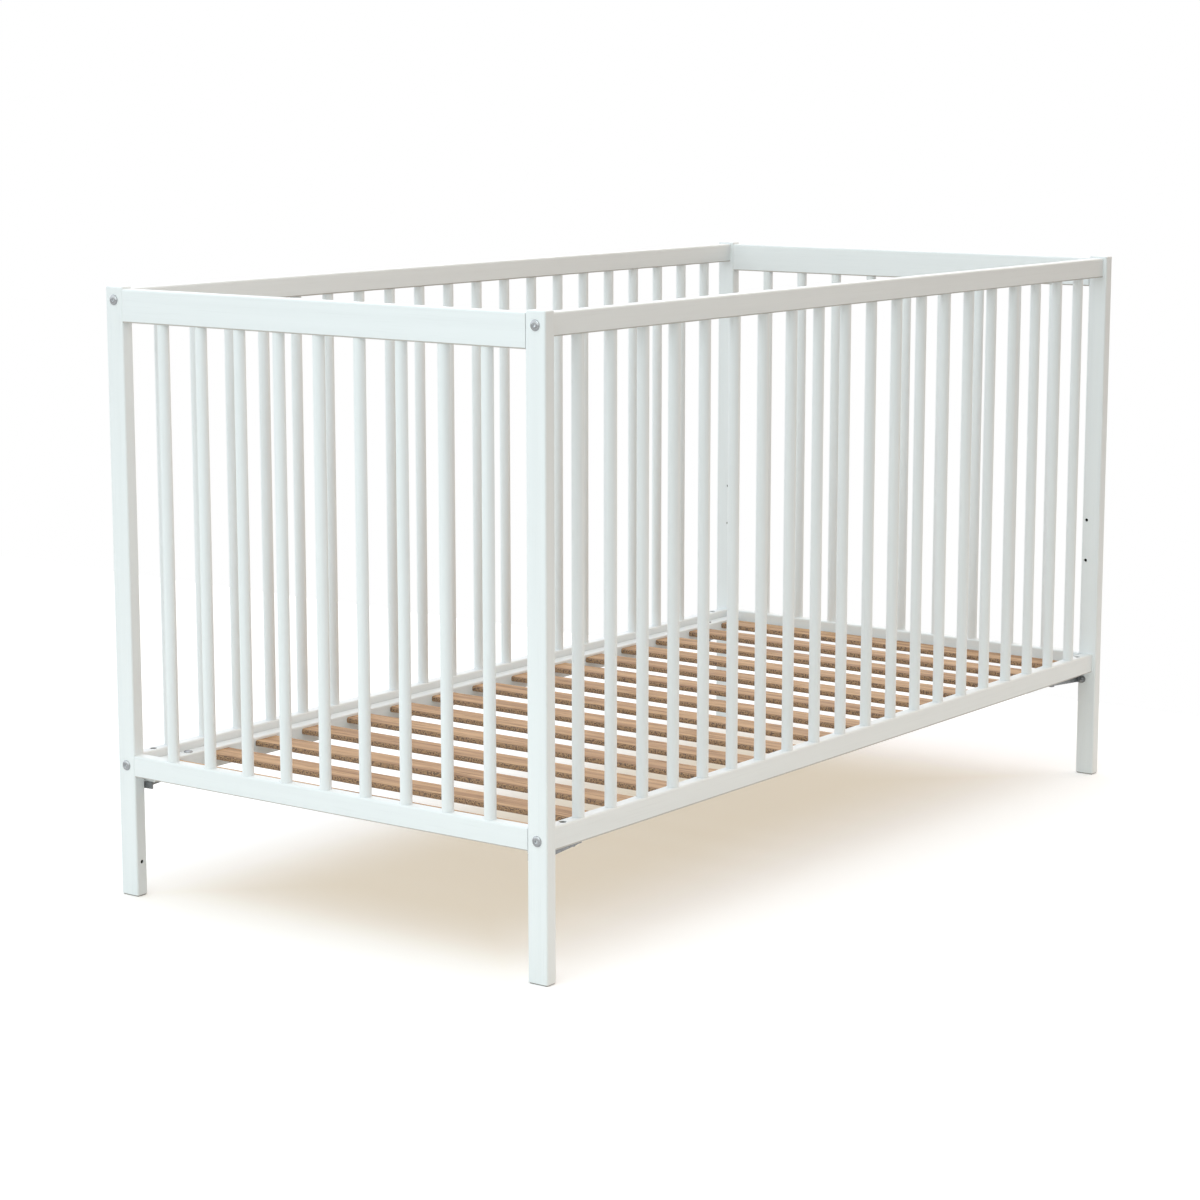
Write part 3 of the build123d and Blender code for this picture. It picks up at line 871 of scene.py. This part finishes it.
def soft_light(tree, shown, source, tint, strength):
    """Broad glow where the sky is shown, brightest towards a source."""
    direction = put(tree, "ShaderNodeTexCoord").outputs["Generated"]
    toward = vector_maths(tree, "DOT_PRODUCT", direction, source, "Value")
    lobe = maths(tree, "POWER", maths(tree, "MAXIMUM", toward, 0.0), LIGHT_FALLOFF)
    power = maths(tree, "MULTIPLY", maths(tree, "MULTIPLY", lobe, shown), strength)
    return put(tree, "ShaderNodeBackground", None, {"Color": (*tint, 1.0), "Strength": power}).outputs[0]


def make_sky(context):
    """Soft light from both sides and behind, on a white backdrop."""
    stage = context.scene.crib_stage
    world = bpy.data.worlds.new("studio")
    world.use_nodes = True
    tree = world.node_tree
    # Only the plain backdrop shows to the camera and through glass, and metal mirrors the lights as well
    path = put(tree, "ShaderNodeLightPath").outputs
    hidden = maths(tree, "MAXIMUM", path["Is Camera Ray"], path["Is Transmission Ray"])
    height = parts_of(tree, put(tree, "ShaderNodeTexCoord").outputs["Generated"])["Z"]
    above = maths(tree, "SUBTRACT", maths(tree, "GREATER_THAN", height, 0.0), hidden)
    shown = maths(tree, "MAXIMUM", above, 0.0)
    sky = put(tree, "ShaderNodeBackground", None, {"Color": WHITE, "Strength": seen_directly(tree)})
    for source, tint, strength in (
        (LEFT_FROM, stage.left_tint, stage.left_strength),
        (RIGHT_FROM, stage.right_tint, stage.right_strength),
        (BACK_FROM, stage.back_tint, stage.back_strength),
    ):
        light = soft_light(tree, shown, source, tint, strength)
        sky = put(tree, "ShaderNodeAddShader", None, {0: sky.outputs[0], 1: light})
    tree.links.new(sky.outputs[0], tree.nodes["World Output"].inputs["Surface"])
    context.scene.world = world


def make_lamp(context):
    """Soft box above the near end."""
    stage = context.scene.crib_stage
    light = bpy.data.lights.new("lamp", "AREA")
    light.energy = stage.lamp_power
    light.color = stage.lamp_tint
    light.size = stage.lamp_size
    lamp = bpy.data.objects.new("lamp", light)
    lamp.matrix_world = placed(LAMP_SPOT, LAMP_SPOT - LAMP_AIM)
    context.scene.collection.objects.link(lamp)


def make_camera(context):
    """Camera at the photograph's place."""
    lens = bpy.data.cameras.new("camera")
    lens.sensor_width = SENSOR_WIDTH
    lens.lens = context.scene.crib_stage.lens
    lens.shift_x, lens.shift_y = CAMERA_SHIFT
    camera = bpy.data.objects.new("camera", lens)
    aim = Euler((math.pi / 2 - CAMERA_PITCH, 0.0, -CAMERA_YAW)).to_matrix().to_4x4()
    camera.matrix_world = Matrix.Translation(CAMERA_SPOT) @ aim @ Matrix.Rotation(CAMERA_ROLL, 4, "Z")
    context.scene.collection.objects.link(camera)
    context.scene.camera = camera


# Operators

class CRIB_OT_posts(bpy.types.Operator):
    """Paint the four corner posts"""

    bl_idname = "crib.posts"
    bl_label = "Posts"

    def execute(self, context):
        posts = named("post_")
        dress(posts, paint_finish("post_paint", "Z", posts[0]))
        return {"FINISHED"}


class CRIB_OT_rails(bpy.types.Operator):
    """Paint the rails of the end panels and the long sides"""

    bl_idname = "crib.rails"
    bl_label = "Rails"

    def execute(self, context):
        for family, axis in (("end", "Y"), ("side", "X")):
            for level in LEVELS:
                rails = named(f"{family}_{level}_rail_")
                dress(rails, paint_finish(f"{family}_{level}_rail_paint", axis, rails[0]))
        return {"FINISHED"}


class CRIB_OT_bars(bpy.types.Operator):
    """Paint the round bars"""

    bl_idname = "crib.bars"
    bl_label = "Bars"

    def execute(self, context):
        dress(named("end_bars_") + named("side_bars_"), paint_finish("bar_paint", "Z"))
        return {"FINISHED"}


class CRIB_OT_slatted_base(bpy.types.Operator):
    """Paint the base rails and finish the wooden slats"""

    bl_idname = "crib.slatted_base"
    bl_label = "Slatted base"

    def execute(self, context):
        rails = named("base_rail_")
        dress(rails, paint_finish("base_rail_paint", "X", rails[0]))
        dress(named("base_slat_"), slat_finish())
        return {"FINISHED"}


class CRIB_OT_frame_bolts(bpy.types.Operator):
    """Make the socket-headed bolts through the posts"""

    bl_idname = "crib.frame_bolts"
    bl_label = "Frame bolts"

    def execute(self, context):
        fasteners = context.scene.crib_fasteners
        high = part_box("frame_bolts")[1]
        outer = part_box("post_right_front")[1].x
        head_diameter = 2 * (high.z - middle("side_top_rail_front").z)
        nut_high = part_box("barrel_nuts")[1]
        nut_radius = nut_high.y - middle("side_top_rail_back").y
        reach = outer - (nut_high.x - 2 * nut_radius) + fasteners.past_nut
        rings = bolt_rings(head_diameter, high.x - outer, reach)
        mesh = bmesh.new()
        for way in WAYS:
            for side in SIDES:
                for level in LEVELS:
                    spot = middle(f"side_{level}_rail_{side}")
                    place = placed((way * outer, spot.y, spot.z), (way, 0, 0))
                    add_turned(mesh, place, rings, recess=SOCKET_BANDS)
        new_piece("frame_bolt_set", mesh, "frame", "zinc_plate", ["frame_bolts"], *bolt_finishes())
        return {"FINISHED"}


class CRIB_OT_base_fixings(bpy.types.Operator):
    """Make the bolts and nuts of the slatted base, and finish its brackets and the barrel nuts"""

    bl_idname = "crib.base_fixings"
    bl_label = "Base fixings"

    def execute(self, context):
        bolt_low, bolt_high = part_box("base_bolts")
        nut_low, nut_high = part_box("base_nuts")
        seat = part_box("base_rail_front")[1].z
        rail_y = middle("base_rail_back").y
        head_diameter = 2 * (bolt_high.y - rail_y)
        bolt_x = bolt_high.x - head_diameter / 2
        bore = context.scene.crib_fasteners.shank / 2 + NUT_CLEARANCE
        bolt = bolt_rings(head_diameter, bolt_high.z - seat, seat - bolt_low.z)
        nut = nut_rings(2 * (nut_high.y - rail_y), nut_high.z - nut_low.z, bore)
        bolts = bmesh.new()
        nuts = bmesh.new()
        for x in (-bolt_x, bolt_x):
            for y in (-rail_y, rail_y):
                add_turned(bolts, placed((x, y, seat), (0, 0, 1)), bolt, recess=SOCKET_BANDS)
                add_turned(nuts, Matrix.Translation((x, y, nut_low.z)), nut, closed=True)
        finish = bracket_finish()
        new_piece("base_bolt_set", bolts, "slatted_base", "zinc_plate", ["base_bolts"], *bolt_finishes())
        new_piece("base_nut_set", nuts, "frame", "zinc_plate", ["base_nuts"], finish)
        dress(named("base_bracket_") + ["barrel_nuts"], finish)
        return {"FINISHED"}


class CRIB_OT_bracket_screws(bpy.types.Operator):
    """Make the slotted screws that hold the brackets"""

    bl_idname = "crib.bracket_screws"
    bl_label = "Bracket screws"

    def execute(self, context):
        fasteners = context.scene.crib_fasteners
        low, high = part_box("bracket_screws")
        head_radius = (high.z - low.z) / 2
        height = middle("bracket_screws").z
        screw_y = high.y - head_radius
        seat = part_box("post_right_front")[0].x - fasteners.plate
        rings = screw_rings(head_radius, high.x - seat)
        slot = {
            "width": fasteners.screw_slot,
            "span": SLOT_SPAN_SHARE * head_radius,
            "depth": fasteners.screw_slot_depth,
            "top": fasteners.screw_head,
        }
        screws = bmesh.new()
        for way in WAYS:
            for y in (-screw_y, screw_y):
                place = placed((way * seat, y, height), (-way, 0, 0))
                screw = bmesh.new()
                add_turned(screw, place, rings)
                slotted(screw, place, **slot)
                add_mesh(screws, screw)
        new_piece("bracket_screw_set", screws, "frame", "zinc_plate", ["bracket_screws"], bracket_finish())
        return {"FINISHED"}


class CRIB_OT_pins(bpy.types.Operator):
    """Finish the wooden pins inside the joints"""

    bl_idname = "crib.pins"
    bl_label = "Pins"

    def execute(self, context):
        dress(("side_rail_pins", "end_rail_pins"), pin_finish())
        return {"FINISHED"}


class CRIB_OT_stage(bpy.types.Operator):
    """Set up the floor, the light and the camera"""

    bl_idname = "crib.stage"
    bl_label = "Stage"

    def execute(self, context):
        make_floor(context)
        make_sky(context)
        make_lamp(context)
        make_camera(context)
        context.scene.view_settings.view_transform = "Standard"
        return {"FINISHED"}


OPERATORS = (
    CRIB_OT_posts,
    CRIB_OT_rails,
    CRIB_OT_bars,
    CRIB_OT_slatted_base,
    CRIB_OT_frame_bolts,
    CRIB_OT_base_fixings,
    CRIB_OT_bracket_screws,
    CRIB_OT_pins,
    CRIB_OT_stage,
)


class CRIB_PT_sidebar(bpy.types.Panel):
    """Pieces and settings of the crib"""

    bl_label = "Baby Crib"
    bl_idname = "CRIB_PT_sidebar"
    bl_space_type = "VIEW_3D"
    bl_region_type = "UI"
    bl_category = "Crib"

    def draw(self, context):
        for operator in OPERATORS:
            self.layout.operator(operator.bl_idname)
        for name, group in SETTINGS.items():
            box = self.layout.box()
            box.label(text=group.__doc__)
            for key in group.__annotations__:
                box.prop(getattr(context.scene, name), key)


CLASSES = (*SETTINGS.values(), *OPERATORS, CRIB_PT_sidebar)


def register():
    for item in CLASSES:
        bpy.utils.register_class(item)
    for name, group in SETTINGS.items():
        setattr(bpy.types.Scene, name, PointerProperty(type=group))


def unregister():
    for name in SETTINGS:
        delattr(bpy.types.Scene, name)
    for item in reversed(CLASSES):
        bpy.utils.unregister_class(item)


def main():
    """Dress the crib and set the stage."""
    register()
    for operator in OPERATORS:
        group, name = operator.bl_idname.split(".")
        getattr(getattr(bpy.ops, group), name)()


if __name__ == "__main__":
    main()
